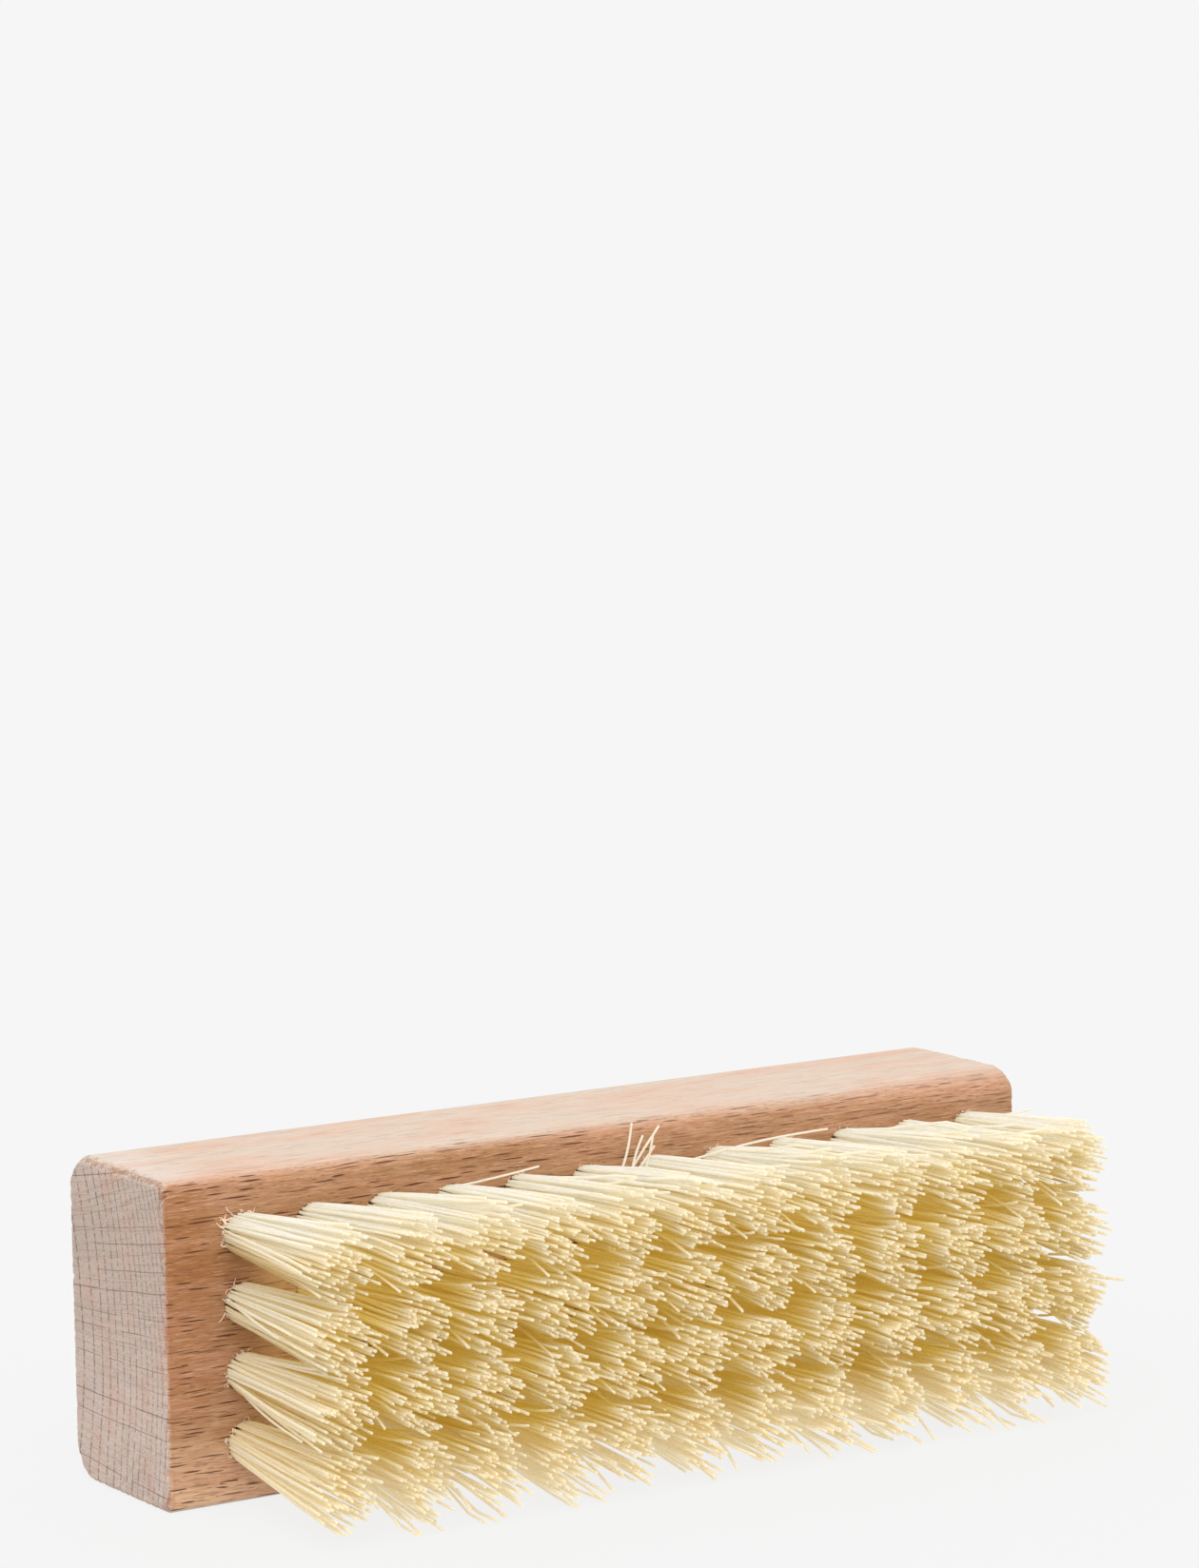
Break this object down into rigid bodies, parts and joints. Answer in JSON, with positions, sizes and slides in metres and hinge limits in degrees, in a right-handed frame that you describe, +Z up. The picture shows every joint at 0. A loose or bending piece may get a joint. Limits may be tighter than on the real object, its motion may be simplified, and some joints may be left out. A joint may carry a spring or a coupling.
{
  "type": "shoe brush",
  "caption": "Oblong hardwood block with rows of stiff plant-fibre tufts on one face, for brushing and cleaning shoes; it lies on a long narrow side.",
  "frame": {"origin": "middle of the outline on the surface that the brush lies on, which is the block's lower long narrow side", "axes": "+X along the block, -Y the way the bristles point, +Z up, across the block's width"},
  "size_m": [0.125, 0.051, 0.04],
  "materials": {
    "beech": "bare sanded beech, open-pored and matt",
    "plant_fibre": "pale cream plant fibre, dry and slightly glossy"
  },
  "bodies": {
    "root": {"wood_block": "beech", "tuft_row1_01": "plant_fibre", "tuft_row1_02": "plant_fibre", "tuft_row1_03": "plant_fibre", "tuft_row1_04": "plant_fibre", "tuft_row1_05": "plant_fibre", "tuft_row1_06": "plant_fibre", "tuft_row1_07": "plant_fibre", "tuft_row1_08": "plant_fibre", "tuft_row1_09": "plant_fibre", "tuft_row1_10": "plant_fibre", "tuft_row1_11": "plant_fibre", "tuft_row1_12": "plant_fibre", "tuft_row2_01": "plant_fibre", "tuft_row2_02": "plant_fibre", "tuft_row2_03": "plant_fibre", "tuft_row2_04": "plant_fibre", "tuft_row2_05": "plant_fibre", "tuft_row2_06": "plant_fibre", "tuft_row2_07": "plant_fibre", "tuft_row2_08": "plant_fibre", "tuft_row2_09": "plant_fibre", "tuft_row2_10": "plant_fibre", "tuft_row2_11": "plant_fibre", "tuft_row2_12": "plant_fibre", "tuft_row3_01": "plant_fibre", "tuft_row3_02": "plant_fibre", "tuft_row3_03": "plant_fibre", "tuft_row3_04": "plant_fibre", "tuft_row3_05": "plant_fibre", "tuft_row3_06": "plant_fibre", "tuft_row3_07": "plant_fibre", "tuft_row3_08": "plant_fibre", "tuft_row3_09": "plant_fibre", "tuft_row3_10": "plant_fibre", "tuft_row3_11": "plant_fibre", "tuft_row3_12": "plant_fibre", "tuft_row4_01": "plant_fibre", "tuft_row4_02": "plant_fibre", "tuft_row4_03": "plant_fibre", "tuft_row4_04": "plant_fibre", "tuft_row4_05": "plant_fibre", "tuft_row4_06": "plant_fibre", "tuft_row4_07": "plant_fibre", "tuft_row4_08": "plant_fibre", "tuft_row4_09": "plant_fibre", "tuft_row4_10": "plant_fibre", "tuft_row4_11": "plant_fibre", "tuft_row4_12": "plant_fibre"}
  },
  "joints": []
}
